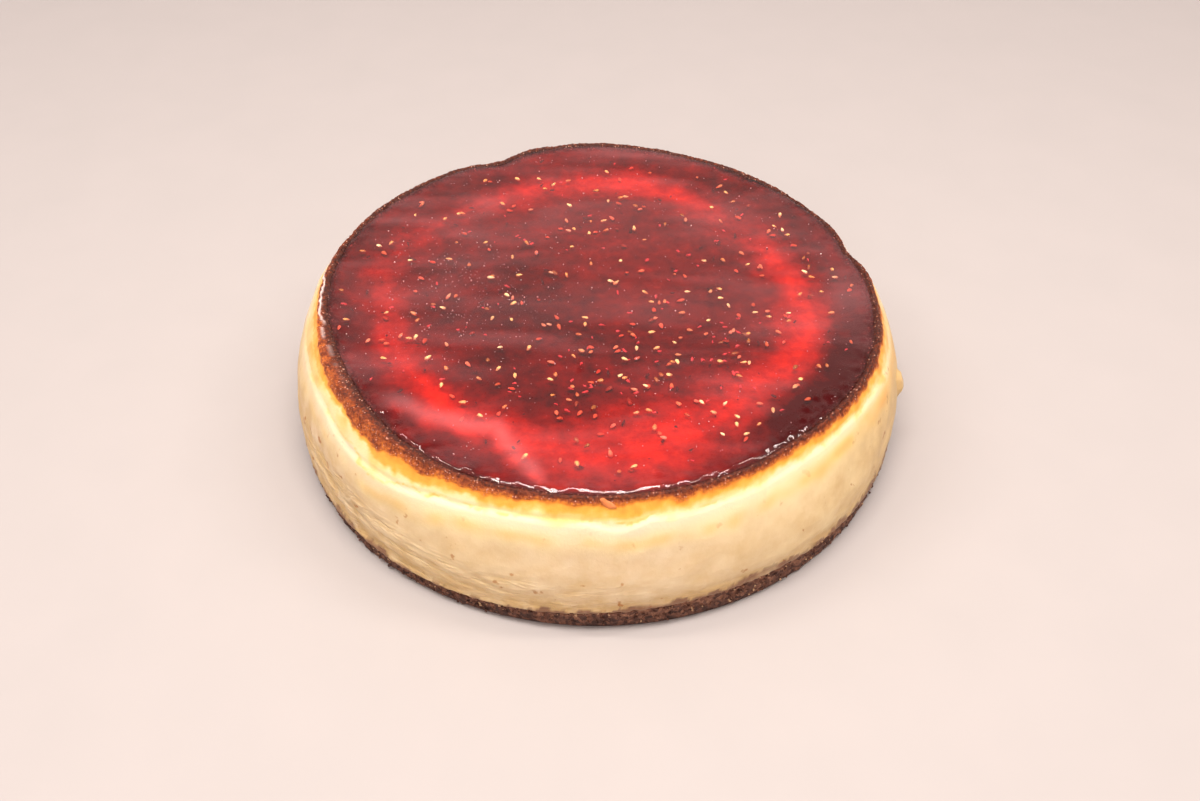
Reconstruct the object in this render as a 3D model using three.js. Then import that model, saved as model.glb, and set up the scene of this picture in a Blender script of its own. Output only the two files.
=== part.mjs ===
// A baked cheesecake with a strawberry jelly, whole, as it comes out of a springform tin.
// Millimetres, +Z up. The origin is the middle of the flat underside.
//
// Three layers are stacked: a pressed biscuit base, the set filling, whose rim stands up as a browned
// crust, and the jelly that lies in the shallow dish inside that rim. Each is a turned profile. One
// unevenness, which is the same for all three, then moves their points, so that the layers keep their
// clearance wherever the cake is out of round.

import * as THREE from "three";

// Driving dimensions
const TIN_RADIUS = 120; // inside of the tin, and the widest that the filling gets
const HEIGHT = 55.7; // underside to the top of the jelly
const BASE_THICKNESS = 6.5; // pressed crumb where it is thin
const JELLY_DEPTH = 2.6; // jelly over the flat of the dish
const CLEARANCE = 0.3; // between two layers that touch

// Biscuit base
const BASE_RADIUS = 119.4;
const BASE_EDGE = 0.9; // rounding of its upper and lower edge

// Filling: the wall leans in over a long shoulder, and tucks in a little at the foot
const RIM_RADIUS = 107.4; // crest of the browned rim
const RIM_DROP = 0.5; // crest below the top of the jelly
const CREST_WIDTH = 0.45;
const WALL_RADIUS = TIN_RADIUS + 0.8;
const SHOULDER_DROP = 43;
const SHOULDER_POWER = 2.3;
const FOOT_TUCK = 1.4;
const FOOT_HEIGHT = 16;
const FOOT_ROUND = 1.2; // rounding of the lower edge
const RIM_ROUND = 0.8; // rounding of the rim's outer edge
const WALL_ROWS = 12;

// Jelly
const JELLY_RADIUS = 106.2;
const DISH_EDGE = 8; // the dish rises to the rim over this width
const DISH_RISE = 1.6; // by this much
const DISH_ROWS = [1.5, 3.5, DISH_EDGE, 30]; // in from the jelly's edge
const JELLY_EDGE = [[0, 1.1], [0.15, 0.65], [0.55, 0.3], [1.4, 0.08], [3.2, 0]]; // in from its edge, down

const SEGMENTS = 108;

// Unevenness: swellings and dents round the cake, each centred at an angle in degrees from +X, with a
// half width in degrees and a height in millimetres. Each reach is where its list goes from no effect
// to its full effect, or back.
const OUTLINE = [
  { at: 92, width: 16, by: 1.8 },
  { at: 155, width: 22, by: 1.3 },
  { at: -20, width: 14, by: 0.9 },
  { at: 115, width: 5.5, by: -3.2 },
  { at: 45, width: 32, by: -1.3 },
  { at: 15, width: 5, by: -1.8 },
  { at: -50, width: 10, by: -1.1 },
];
const OUTLINE_HEIGHTS = [22, 50];
const RIM_SAG = [
  { at: 115, width: 6, by: -1 },
  { at: 17, width: 5, by: -0.9 },
  { at: -145, width: 30, by: -0.4 },
];
const RIM_HEIGHTS = [40, 50];
const RIM_SAG_RADII = [80, 104];
const BARE_CRUST = [{ at: -154, width: 24, by: 4.6 }]; // where the jelly stops short of the rim
const BARE_CRUST_RADII = [70, 98];
const CREST_RADII = [RIM_RADIUS - 0.8, RIM_RADIUS - 0.1];
const THICK_BASE = [
  { at: -60, width: 32, by: 4.2 },
  { at: -90, width: 20, by: 0.8 },
  { at: 130, width: 50, by: 1.6 },
];
const THICK_BASE_HEIGHTS = [BASE_THICKNESS + CLEARANCE, 34];

const { clamp, smoothstep, lerp, radToDeg } = THREE.MathUtils;

// The sum of a list's bell curves at an angle.
function bells(list, angle) {
  let sum = 0;
  for (const { at, width, by } of list) {
    const away = ((angle - at + 540) % 360) - 180;
    sum += by * Math.exp(-((away / width) ** 2));
  }
  return sum;
}

// Moves one point of a layer, given as radius, height and angle, to its uneven place.
function uneven(radius, height, angle) {
  const atRim = smoothstep(height, ...RIM_HEIGHTS);
  const outward = bells(OUTLINE, angle) * smoothstep(height, ...OUTLINE_HEIGHTS) * (radius / RIM_RADIUS) ** 3;
  const inDish = smoothstep(radius, ...BARE_CRUST_RADII) * (1 - smoothstep(radius, ...CREST_RADII));
  const inward = bells(BARE_CRUST, angle) * inDish * atRim;
  const inBase = clamp(height / BASE_THICKNESS, 0, 1);
  const overBase = 1 - smoothstep(height, ...THICK_BASE_HEIGHTS);
  const lift = bells(THICK_BASE, angle) * Math.min(inBase, overBase) * (radius / TIN_RADIUS) ** 2;
  const sag = bells(RIM_SAG, angle) * atRim * smoothstep(radius, ...RIM_SAG_RADII);
  return [radius + outward - inward, height + lift + sag];
}

// Turns a profile of [radius, height] points, which starts and ends on the axis, and makes it uneven.
function turned(profile) {
  const points = profile.map(([radius, height]) => new THREE.Vector2(radius, height));
  const geometry = new THREE.LatheGeometry(points, SEGMENTS).rotateX(Math.PI / 2);
  const position = geometry.getAttribute("position");
  for (let i = 0; i < position.count; i++) {
    const x = position.getX(i);
    const y = position.getY(i);
    const angle = Math.atan2(y, x);
    const [radius, height] = uneven(Math.hypot(x, y), position.getZ(i), radToDeg(angle));
    position.setXYZ(i, radius * Math.cos(angle), radius * Math.sin(angle), height);
  }
  geometry.computeVertexNormals();
  return geometry;
}

// Radius of the filling's wall at a height.
function wallRadius(height) {
  const down = clamp((HEIGHT - height) / SHOULDER_DROP, 0, 1);
  const foot = FOOT_TUCK * clamp(1 - height / FOOT_HEIGHT, 0, 1) ** 2;
  return lerp(RIM_RADIUS, WALL_RADIUS, 1 - (1 - down) ** SHOULDER_POWER) - foot;
}

// Height of the dish under the jelly at a radius: flat, then a parabola up to the rim.
function dishHeight(radius) {
  const up = clamp((radius - (JELLY_RADIUS - DISH_EDGE)) / DISH_EDGE, 0, 1.05);
  return HEIGHT - JELLY_DEPTH - CLEARANCE + DISH_RISE * up ** 2;
}

function biscuitBase() {
  const inset = BASE_RADIUS - BASE_EDGE;
  return turned([
    [0, 0],
    [inset, 0],
    [BASE_RADIUS, BASE_EDGE],
    [BASE_RADIUS - 0.1, BASE_THICKNESS - BASE_EDGE],
    [inset, BASE_THICKNESS],
    [BASE_RADIUS / 2, BASE_THICKNESS],
    [0, BASE_THICKNESS],
  ]);
}

function filling() {
  const floor = BASE_THICKNESS + CLEARANCE;
  const foot = floor + FOOT_ROUND;
  const crest = HEIGHT - RIM_DROP;
  const profile = [
    [0, floor],
    [TIN_RADIUS / 2, floor],
    [wallRadius(floor) - FOOT_ROUND, floor],
  ];
  for (let row = 0; row <= WALL_ROWS; row++) {
    const along = Math.sin((row / WALL_ROWS) * (Math.PI / 2)); // rows close up towards the rim
    const height = lerp(foot, crest - RIM_ROUND, along);
    profile.push([wallRadius(height), height]);
  }
  profile.push([RIM_RADIUS - CREST_WIDTH / 4, crest - RIM_ROUND / 5]);
  profile.push([RIM_RADIUS - CREST_WIDTH, crest]);
  for (const inset of [-CREST_WIDTH, ...DISH_ROWS]) {
    profile.push([JELLY_RADIUS - inset, dishHeight(JELLY_RADIUS - inset)]);
  }
  profile.push([0, dishHeight(0)]);
  return turned(profile);
}

function jelly() {
  const profile = [[0, dishHeight(0) + CLEARANCE]];
  for (const inset of [...DISH_ROWS.toReversed(), 0]) {
    profile.push([JELLY_RADIUS - inset, dishHeight(JELLY_RADIUS - inset) + CLEARANCE]);
  }
  for (const [inset, down] of JELLY_EDGE) {
    profile.push([JELLY_RADIUS - inset, HEIGHT - down]);
  }
  profile.push([JELLY_RADIUS / 2, HEIGHT]);
  profile.push([0, HEIGHT]);
  return turned(profile);
}

// Names a layer and gives it its material.
function layer(name, geometry, color, roughness) {
  const material = new THREE.MeshStandardMaterial({ color, roughness, metalness: 0 });
  const mesh = new THREE.Mesh(geometry, material);
  mesh.name = name;
  return mesh;
}

const cheesecake = new THREE.Group();
cheesecake.add(layer("biscuit_base", biscuitBase(), 0x5a4034, 0.9));
cheesecake.add(layer("cheese_filling", filling(), 0xf3d29a, 0.55));
cheesecake.add(layer("strawberry_jelly", jelly(), 0xa83a3a, 0.1));

export default cheesecake;
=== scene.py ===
"""Baked cheesecake with a strawberry jelly: the looks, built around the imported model.

Every mesh is a grid of points worked out with numpy. Shapes are worked out in millimetres, and a mesh
gets them in metres. Angles round the cake are in degrees from +X, anticlockwise from above.
"""

import itertools
import math

import bpy
import numpy as np
from bpy.props import FloatProperty, FloatVectorProperty, IntProperty, PointerProperty
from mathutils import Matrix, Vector


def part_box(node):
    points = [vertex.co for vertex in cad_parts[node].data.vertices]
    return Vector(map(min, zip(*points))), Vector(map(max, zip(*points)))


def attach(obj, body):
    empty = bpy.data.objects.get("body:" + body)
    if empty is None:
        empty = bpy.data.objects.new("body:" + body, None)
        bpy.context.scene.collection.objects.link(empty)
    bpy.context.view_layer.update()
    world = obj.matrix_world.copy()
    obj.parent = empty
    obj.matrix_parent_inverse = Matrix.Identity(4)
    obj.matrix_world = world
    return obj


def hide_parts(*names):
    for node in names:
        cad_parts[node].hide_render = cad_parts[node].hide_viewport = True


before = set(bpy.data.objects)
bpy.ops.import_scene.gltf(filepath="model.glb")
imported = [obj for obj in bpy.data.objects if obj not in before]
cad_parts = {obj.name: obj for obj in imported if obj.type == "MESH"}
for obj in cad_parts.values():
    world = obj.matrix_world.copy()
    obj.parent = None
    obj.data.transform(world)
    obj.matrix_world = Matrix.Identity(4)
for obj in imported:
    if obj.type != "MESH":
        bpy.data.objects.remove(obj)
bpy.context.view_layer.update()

bl_info = {
    "name": "Baked Cheesecake",
    "version": (1, 0, 0),
    "blender": (4, 5, 0),
    "location": "3D View > Sidebar > Cheesecake",
    "description": "Builds a baked cheesecake with a strawberry jelly around its solid model",
    "category": "Add Mesh",
}

MM = 0.001

# Main sizes, in millimetres, from the model's parts
BASE_BOX = [np.array(corner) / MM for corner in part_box("biscuit_base")]
CHEESE_BOX = [np.array(corner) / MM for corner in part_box("cheese_filling")]
JELLY_BOX = [np.array(corner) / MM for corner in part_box("strawberry_jelly")]
HEIGHT = JELLY_BOX[1][2]
BASE_RADIUS = BASE_BOX[1][0]
WALL_RADIUS = CHEESE_BOX[1][0]
CHEESE_FLOOR = CHEESE_BOX[0][2]
CREST = CHEESE_BOX[1][2]
CLEARANCE = 0.3
BASE_THICKNESS = CHEESE_FLOOR - CLEARANCE
RIM_RADIUS = WALL_RADIUS - 13.4
JELLY_RADIUS = RIM_RADIUS - 1.2
JELLY_DEPTH = 2.6

# The wall leans in over a long shoulder, and tucks in a little at the foot
SHOULDER_DROP = 43
SHOULDER_POWER = 2.3
FOOT_TUCK = 1.4
FOOT_HEIGHT = 16
DISH_EDGE = 8
DISH_RISE = 1.6

# Unevenness, as the model has it: each swelling or dent is (angle, half width in degrees, height)
OUTLINE = [
    (92, 16, 1.8),
    (155, 22, 1.3),
    (-20, 14, 0.9),
    (115, 5.5, -3.2),
    (45, 32, -1.3),
    (15, 5, -1.8),
    (-50, 10, -1.1),
]
RIM_SAG = [(115, 6, -1), (17, 5, -0.9), (-145, 30, -0.4)]
BARE_CRUST = [(-154, 24, 4.6)]
THICK_BASE = [(-60, 32, 4.2), (-90, 20, 0.8), (130, 50, 1.6)]


# ---------------------------------------------------------------- formulas


def to_linear(code):
    """Turns an sRGB hex colour into linear red, green, blue and full alpha."""
    parts = [int(code[i : i + 2], 16) / 255 for i in (1, 3, 5)]
    return (*[c / 12.92 if c <= 0.04045 else ((c + 0.055) / 1.055) ** 2.4 for c in parts], 1.0)


def smooth(value, low, high):
    """An S curve from 0 at low to 1 at high: three times the share squared less twice its cube."""
    share = np.clip((value - low) / (high - low), 0, 1)
    return share * share * (3 - 2 * share)


def bells(entries, angle):
    """The sum of bell curves round the cake: each height times e to minus (distance over width) squared."""
    total = np.zeros_like(angle, dtype=float)
    for at, width, by in entries:
        away = (angle - at + 540) % 360 - 180
        total += by * np.exp(-((away / width) ** 2))
    return total


def noise(points, seed):
    """Gradient noise from about -1 to 1: every corner of the unit grid has a random slope, and the eight
    slopes round a point are blended by a smooth curve of its place between them."""
    draw = np.random.default_rng(seed)
    slopes = draw.normal(size=(256, 3))
    slopes /= np.linalg.norm(slopes, axis=1, keepdims=True)
    shuffle = draw.permutation(256)
    cell = np.floor(points).astype(int)
    inside = points - cell
    blend = inside**3 * (inside * (inside * 6 - 15) + 10)
    total = np.zeros(points.shape[:-1])
    for corner in itertools.product((0, 1), repeat=3):
        at = cell + corner
        pick = shuffle[at[..., 0] & 255]
        pick = shuffle[(pick + at[..., 1]) & 255]
        pick = shuffle[(pick + at[..., 2]) & 255]
        share = np.where(corner, blend, 1 - blend).prod(axis=-1)
        total += share * (slopes[pick] * (inside - corner)).sum(axis=-1)
    return total * 1.6


def clouds(points, size, seed, layers=3):
    """Noise at a size in millimetres, plus noise of half that size and height, and so on."""
    return sum(noise(points / size * 2**k, seed + k) / 2**k for k in range(layers))


def ridges(points, size, seed):
    """Folds: 1 along the lines where the noise passes through 0, falling off on both sides."""
    return 1 - np.clip(np.abs(noise(points / size, seed)) * 2.2, 0, 1)


# ---------------------------------------------------------------- the cake's form


def uneven(radius, height, angle):
    """Moves points, given as radius, height and angle, to the cake's uneven outline, as the model does."""
    at_rim = smooth(height, 40, 50)
    outward = bells(OUTLINE, angle) * smooth(height, 22, 50) * (radius / RIM_RADIUS) ** 3
    in_dish = smooth(radius, 70, 98) * (1 - smooth(radius, RIM_RADIUS - 0.8, RIM_RADIUS - 0.1))
    inward = bells(BARE_CRUST, angle) * in_dish * at_rim
    in_base = np.clip(height / BASE_THICKNESS, 0, 1)
    over_base = 1 - smooth(height, CHEESE_FLOOR, 34)
    lift = bells(THICK_BASE, angle) * np.minimum(in_base, over_base) * (radius / 120) ** 2
    sag = bells(RIM_SAG, angle) * at_rim * smooth(radius, 80, 104)
    return radius + outward - inward, height + lift + sag


def wall_radius(height):
    """Radius of the wall: from the rim it bulges out by a power curve, and tucks in at the foot."""
    down = np.clip((HEIGHT - height) / SHOULDER_DROP, 0, 1)
    foot = FOOT_TUCK * np.clip(1 - height / FOOT_HEIGHT, 0, 1) ** 2
    return RIM_RADIUS + (WALL_RADIUS - RIM_RADIUS) * (1 - (1 - down) ** SHOULDER_POWER) - foot


def dish_height(radius):
    """Height of the skin under the jelly: flat, then a parabola up to the rim."""
    up = np.clip((radius - (JELLY_RADIUS - DISH_EDGE)) / DISH_EDGE, 0, 1.05)
    return HEIGHT - JELLY_DEPTH - CLEARANCE + DISH_RISE * up**2


def turned(rows, columns):
    """Turns rows of (radius, height) round the axis, makes them uneven, and gives the points' grid, the
    nominal radius and height of every point, and its angle."""
    profile = np.array(rows, dtype=float)
    angle = np.linspace(-180, 180, columns, endpoint=False)[None, :]
    radius = np.broadcast_to(profile[:, :1], (len(profile), columns))
    height = np.broadcast_to(profile[:, 1:], (len(profile), columns))
    angle = np.broadcast_to(angle, radius.shape)
    return placed(*uneven(radius, height, angle), angle), radius, height, angle


def placed(radius, height, angle):
    """The points at a radius, height and angle."""
    turn = np.radians(angle)
    return np.stack([radius * np.cos(turn), radius * np.sin(turn), height], axis=-1)


def pushed(grid, depth):
    """Moves a grid's points along the surface normal, which is the cross product of its two directions."""
    along = np.roll(grid, -1, axis=1) - np.roll(grid, 1, axis=1)
    up = np.gradient(grid, axis=0)
    normal = np.cross(along, up)
    normal /= np.maximum(np.linalg.norm(normal, axis=-1, keepdims=True), 1e-9)
    return grid + normal * depth[..., None]


# ---------------------------------------------------------------- meshes


def mesh_object(name, points, faces, values=None):
    """Makes an object from points in millimetres and lists of faces of the same size, smooth, with a
    number for each point under each name in values."""
    mesh = bpy.data.meshes.new(name)
    corners = np.concatenate([block.ravel() for block in faces])
    counts = np.concatenate([np.full(len(block), block.shape[1]) for block in faces])
    mesh.vertices.add(len(points))
    mesh.vertices.foreach_set("co", (points * MM).astype(np.float32).ravel())
    mesh.loops.add(len(corners))
    mesh.loops.foreach_set("vertex_index", corners.astype(np.int32))
    mesh.polygons.add(len(counts))
    mesh.polygons.foreach_set("loop_start", (np.cumsum(counts) - counts).astype(np.int32))
    mesh.polygons.foreach_set("use_smooth", np.ones(len(counts), bool))
    for key, numbers in (values or {}).items():
        data = mesh.attributes.new(key, "FLOAT", "POINT").data
        data.foreach_set("value", np.asarray(numbers, np.float32).ravel())
    mesh.update(calc_edges=True)
    if mesh.validate():
        raise RuntimeError(f"{name}: the mesh had faulty faces")
    made = bpy.data.objects.new(name, mesh)
    bpy.context.scene.collection.objects.link(made)
    return made


def closed_grid(name, grid, values=None):
    """Makes a closed object from a grid whose rows run from the middle of the underside, out, up and in
    again, and whose columns run round. The first and last rows are closed by a fan to their middle."""
    rows, columns = grid.shape[:2]
    index = np.arange(rows * columns).reshape(rows, columns)
    after = np.roll(index, -1, axis=1)
    quads = np.stack([index[:-1], after[:-1], after[1:], index[1:]], axis=-1).reshape(-1, 4)
    under, over = rows * columns, rows * columns + 1
    low = np.stack([np.full(columns, under), after[0], index[0]], axis=-1)
    top = np.stack([index[-1], after[-1], np.full(columns, over)], axis=-1)
    points = np.concatenate([grid.reshape(-1, 3), grid[[0, -1]].mean(axis=1)])
    ends = {key: [field[0].mean(), field[-1].mean()] for key, field in (values or {}).items()}
    numbers = {key: np.concatenate([field.ravel(), ends[key]]) for key, field in (values or {}).items()}
    return mesh_object(name, points, [quads, low, top], numbers)


def bead(around, along):
    """Points and faces of a unit sphere, as a turned grid with closed ends."""
    lift = np.linspace(-math.pi / 2, math.pi / 2, along + 2)[1:-1]
    turn = np.linspace(0, 2 * math.pi, around, endpoint=False)
    flat = np.cos(lift)[:, None]
    grid = np.stack(
        [flat * np.cos(turn), flat * np.sin(turn), np.sin(lift)[:, None] + 0 * turn], axis=-1
    )
    points = np.concatenate([grid.reshape(-1, 3), [[0, 0, -1], [0, 0, 1]]])
    index = np.arange(along * around).reshape(along, around)
    after = np.roll(index, -1, axis=1)
    quads = np.stack([index[:-1], after[:-1], after[1:], index[1:]], axis=-1).reshape(-1, 4)
    low = np.stack([np.full(around, along * around), after[0], index[0]], axis=-1)
    top = np.stack([index[-1], after[-1], np.full(around, along * around + 1)], axis=-1)
    return points, [quads, low, top]


def turns(draw, count, tilt):
    """Random turns: any heading about the vertical, after a tilt of about so many degrees either way."""
    heading = draw.uniform(0, 2 * math.pi, count)
    lean = np.radians(draw.normal(0, tilt, count))
    c, s, o, z = np.cos(heading), np.sin(heading), np.ones(count), np.zeros(count)
    about = np.array([[c, -s, z], [s, c, z], [z, z, o]]).transpose(2, 0, 1)
    c, s = np.cos(lean), np.sin(lean)
    tip = np.array([[c, z, -s], [z, o, z], [s, z, c]]).transpose(2, 0, 1)
    return about @ tip


def scattered(name, forms, faces, places, turned_by, sizes, values=None):
    """Makes one object of many copies: each form is stretched to its size, turned, and moved to its place.
    forms is one set of points, or one for each copy."""
    count, each = len(places), forms.shape[-2]
    stretched = forms * sizes[:, None, :]
    points = np.einsum("nij,nvj->nvi", turned_by, stretched) + places[:, None, :]
    step = each * np.arange(count)[:, None, None]
    blocks = [(block[None] + step).reshape(-1, block.shape[1]) for block in faces]
    numbers = {key: np.repeat(field, each) for key, field in (values or {}).items()}
    return mesh_object(name, points.reshape(-1, 3), blocks, numbers)


def finished(piece, material, slot, *nodes):
    """Gives a piece its material and the root body, and hides the model's nodes that it stands for. The slot
    is not used.
    """
    piece.data.materials.append(material)
    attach(piece, "root")
    if nodes:
        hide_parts(*nodes)
    return piece


# ---------------------------------------------------------------- materials


def node(tree, kind, inputs=(), stops=(), **settings):
    """Adds a node with its settings, its inputs, by name or in order, and a ramp's stops of (place, hex
    colour). An input is a value, a socket, or a node, whose first output is then linked."""
    made = tree.nodes.new("ShaderNode" + kind)
    for key, value in settings.items():
        setattr(made, key, value)
    for key, value in inputs.items() if isinstance(inputs, dict) else enumerate(inputs):
        if isinstance(value, bpy.types.Node):
            value = value.outputs[0]
        if isinstance(value, bpy.types.NodeSocket):
            tree.links.new(value, made.inputs[key])
        else:
            made.inputs[key].default_value = value
    if stops:
        elements = made.color_ramp.elements
        while len(elements) < len(stops):
            elements.new(1)
        for element, (place, code) in zip(elements, stops):
            element.position = place
            element.color = to_linear(code)
    return made


def new_material(name):
    """An empty node material and its tree."""
    material = bpy.data.materials.new(name)
    material.use_nodes = True
    material.node_tree.nodes.clear()
    return material, material.node_tree


# Browning of baked cheese, from bare curd through yellow and orange to scorched
BROWNING = [
    (0.0, "#F6DFC0"),
    (0.1, "#FAE3B2"),
    (0.22, "#FAD284"),
    (0.36, "#FAAE44"),
    (0.5, "#EA8A2C"),
    (0.62, "#BC5E26"),
    (0.76, "#803412"),
    (0.9, "#461A0F"),
]
# Baked biscuit, from the buttery foot of the base to a dry pale grain
BISCUIT = [(0.0, "#4C322B"), (0.3, "#7C5242"), (0.6, "#A27258"), (1.0, "#D8B088")]
# Husk of a strawberry seed, from straw to brown
HUSK = [(0.0, "#FFE3AC"), (0.4, "#F5BE7A"), (0.75, "#E2884A"), (1.0, "#A0542A")]
CHEESE_IOR = 1.42
CHEESE_SCATTER = (1.0, 0.62, 0.34)
BISCUIT_IOR = 1.45
JELLY_IOR = 1.45
JELLY_DENSITY = 430.0
HUSK_IOR = 1.45
FRUIT_IOR = 1.4


def cheese_material(colours):
    """Baked cream cheese: dense, satin and a little translucent, so that light softens its folds. Where
    it has browned it turns yellow, orange, then dark, dry and grainy."""
    material, tree = new_material("baked_cream_cheese")
    place = node(tree, "TexCoord").outputs["Object"]
    toast, crust, tan, dish, raised_highlight_line, folded, stain = (
        node(tree, "Attribute", attribute_name=name).outputs["Fac"]
        for name in ("toast", "crust", "tan", "dish", "raised_highlight_line", "folded", "stain")
    )
    # Grain of the crust: 0.7 mm in a real one, drawn at 1.1 mm so that it shows
    grain = node(tree, "TexNoise", {"Vector": place, "Scale": 900, "Detail": 3, "Roughness": 0.65})
    swing = node(tree, "MapRange", [grain, 0.32, 0.68, -0.1, 0.1])
    grainy = node(tree, "Math", [swing, crust], operation="MULTIPLY")
    # Mottle of the skin under the jelly, about 7 mm
    mottle = node(tree, "TexNoise", {"Vector": place, "Scale": 150, "Detail": 5, "Roughness": 0.62})
    uneven_skin = node(tree, "MapRange", [mottle, 0.3, 0.7, -0.075, 0.075])
    mottled = node(tree, "Math", [uneven_skin, dish], operation="MULTIPLY")
    shift = node(tree, "Math", [grainy, mottled], operation="ADD")
    browned = node(tree, "Math", [toast, shift], operation="ADD", use_clamp=True)
    ramp = node(tree, "ValToRGB", [browned], BROWNING)
    # Faint blotches, about 9 mm, in the tan and painted shade laid over the pale curd
    blotch = node(tree, "TexNoise", {"Vector": place, "Scale": 110, "Detail": 4, "Roughness": 0.55})
    blotched_share = node(tree, "MapRange", [blotch, 0.3, 0.7, 0.5, 1.4])
    depth = node(tree, "Math", [tan, blotched_share], operation="MULTIPLY", use_clamp=True)
    # Vanilla specks and stains in the curd, 1 to 2 mm: the peaks of a 5 mm pattern
    pits = node(tree, "TexNoise", {"Vector": place, "Scale": 190, "Detail": 3, "Roughness": 0.5})
    pit = node(tree, "MapRange", [pits, 0.665, 0.72, 0, 1.3])
    pitted = node(tree, "Math", [pit, tan], operation="MULTIPLY", use_clamp=True)
    # Painted glints on the crust's grains: pale dots about 0.5 mm across, in patches of 2 mm
    glint_cells = node(tree, "TexVoronoi", {"Vector": place, "Scale": 950, "Randomness": 1.0})
    flake = node(tree, "MapRange", [glint_cells, 0.3, 0.18, 0, 0.85])
    patch = node(tree, "TexNoise", {"Vector": place, "Scale": 520, "Detail": 2})
    some = node(tree, "MapRange", [patch, 0.5, 0.58, 0, 1])
    here = node(tree, "Math", [flake, crust], operation="MULTIPLY")
    painted_glints = node(tree, "Math", [here, some], operation="MULTIPLY")
    # Biscuit crumb smeared on the curd over the base, paler where it is thin
    thin = node(tree, "Math", [stain, blotch], operation="MULTIPLY")
    smeared = node(tree, "MapRange", [thin, 0.0, 0.5, 0.0, 0.9])
    # Each layer of colour lies over the ones before it
    colour = ramp.outputs["Color"]
    for share, over in (
        # Tan and painted shade of the lower wall
        (depth, tuple(colours.tan) + (1,)),
        (pitted, to_linear("#BE7E40")),
        # Painted glints on the crust
        (painted_glints, to_linear("#E2A58C")),
        # Painted highlight along the raised line on the rim
        (raised_highlight_line, to_linear("#FFE6DE")),
        (smeared, to_linear("#8C6048")),
    ):
        colour = node(tree, "Mix", {0: share, 6: colour, 7: over}, data_type="RGBA").outputs[2]
    rough = node(tree, "MapRange", [crust, 0, 1, 0.46, 0.55])
    bump_high = node(tree, "MapRange", [crust, 0, 1, 0.25, 1.3])
    fine = node(tree, "TexNoise", {"Vector": place, "Scale": 800, "Detail": 4, "Roughness": 0.65})
    high = node(tree, "Math", [fine, bump_high], operation="MULTIPLY")
    # Fine creases between the folds, 13 mm long and 2.6 mm apart
    flat = node(tree, "Mapping", {"Vector": place, "Scale": (75, 75, 380)})
    crease = node(tree, "TexNoise", {"Vector": flat, "Scale": 1.0, "Detail": 3, "Distortion": 0.8})
    sharp = node(tree, "Math", [crease, 0.5], operation="SUBTRACT")
    valley = node(tree, "Math", [sharp], operation="ABSOLUTE")
    creased = node(tree, "Math", [valley, folded], operation="MULTIPLY")
    total = node(tree, "Math", [creased, 4.0, high], operation="MULTIPLY_ADD")
    bump = node(tree, "Bump", {"Height": total, "Strength": 1.0, "Distance": 0.0006})
    shader = node(
        tree,
        "BsdfPrincipled",
        {
            "Base Color": colour,
            "Roughness": rough,
            "IOR": CHEESE_IOR,
            "Subsurface Weight": 0.12,
            "Subsurface Radius": CHEESE_SCATTER,
            "Subsurface Scale": 0.002,
            "Normal": bump,
        },
    )
    node(tree, "OutputMaterial", {"Surface": shader})
    return material


def crumb_material():
    """Pressed biscuit crumb bound with butter: dark, dull, each grain a slightly other brown."""
    material, tree = new_material("pressed_biscuit_crumb")
    place = node(tree, "TexCoord").outputs["Object"]
    # Grains of about 1.4 mm, each with its own shade
    grains = node(tree, "TexVoronoi", {"Vector": place, "Scale": 700, "Randomness": 1.0})
    shade = node(tree, "SeparateColor", {"Color": grains.outputs["Color"]})
    fine = node(tree, "TexNoise", {"Vector": place, "Scale": 1500, "Detail": 3, "Roughness": 0.6})
    both = node(tree, "Math", [shade, fine], operation="MULTIPLY")
    # Painted shade: darker towards the bottom and lighter towards the top; a few loose crumbs are pale
    up = node(tree, "SeparateXYZ", {"Vector": place}).outputs["Z"]
    painted_shade_below = node(tree, "MapRange", [up, 0.001, 0.011, -0.16, 0.2])
    pale = node(tree, "Attribute", attribute_name="pale").outputs["Fac"]
    grain_and_shade = node(tree, "Math", [both, painted_shade_below], operation="ADD")
    lit = node(tree, "Math", [grain_and_shade, pale], operation="ADD", use_clamp=True)
    ramp = node(tree, "ValToRGB", [lit], BISCUIT)
    bump = node(tree, "Bump", {"Height": grains, "Strength": 0.7, "Distance": 0.0006})
    finish = {"Base Color": ramp, "Roughness": 0.82, "IOR": BISCUIT_IOR, "Normal": bump}
    node(tree, "OutputMaterial", {"Surface": node(tree, "BsdfPrincipled", finish)})
    return material


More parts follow.
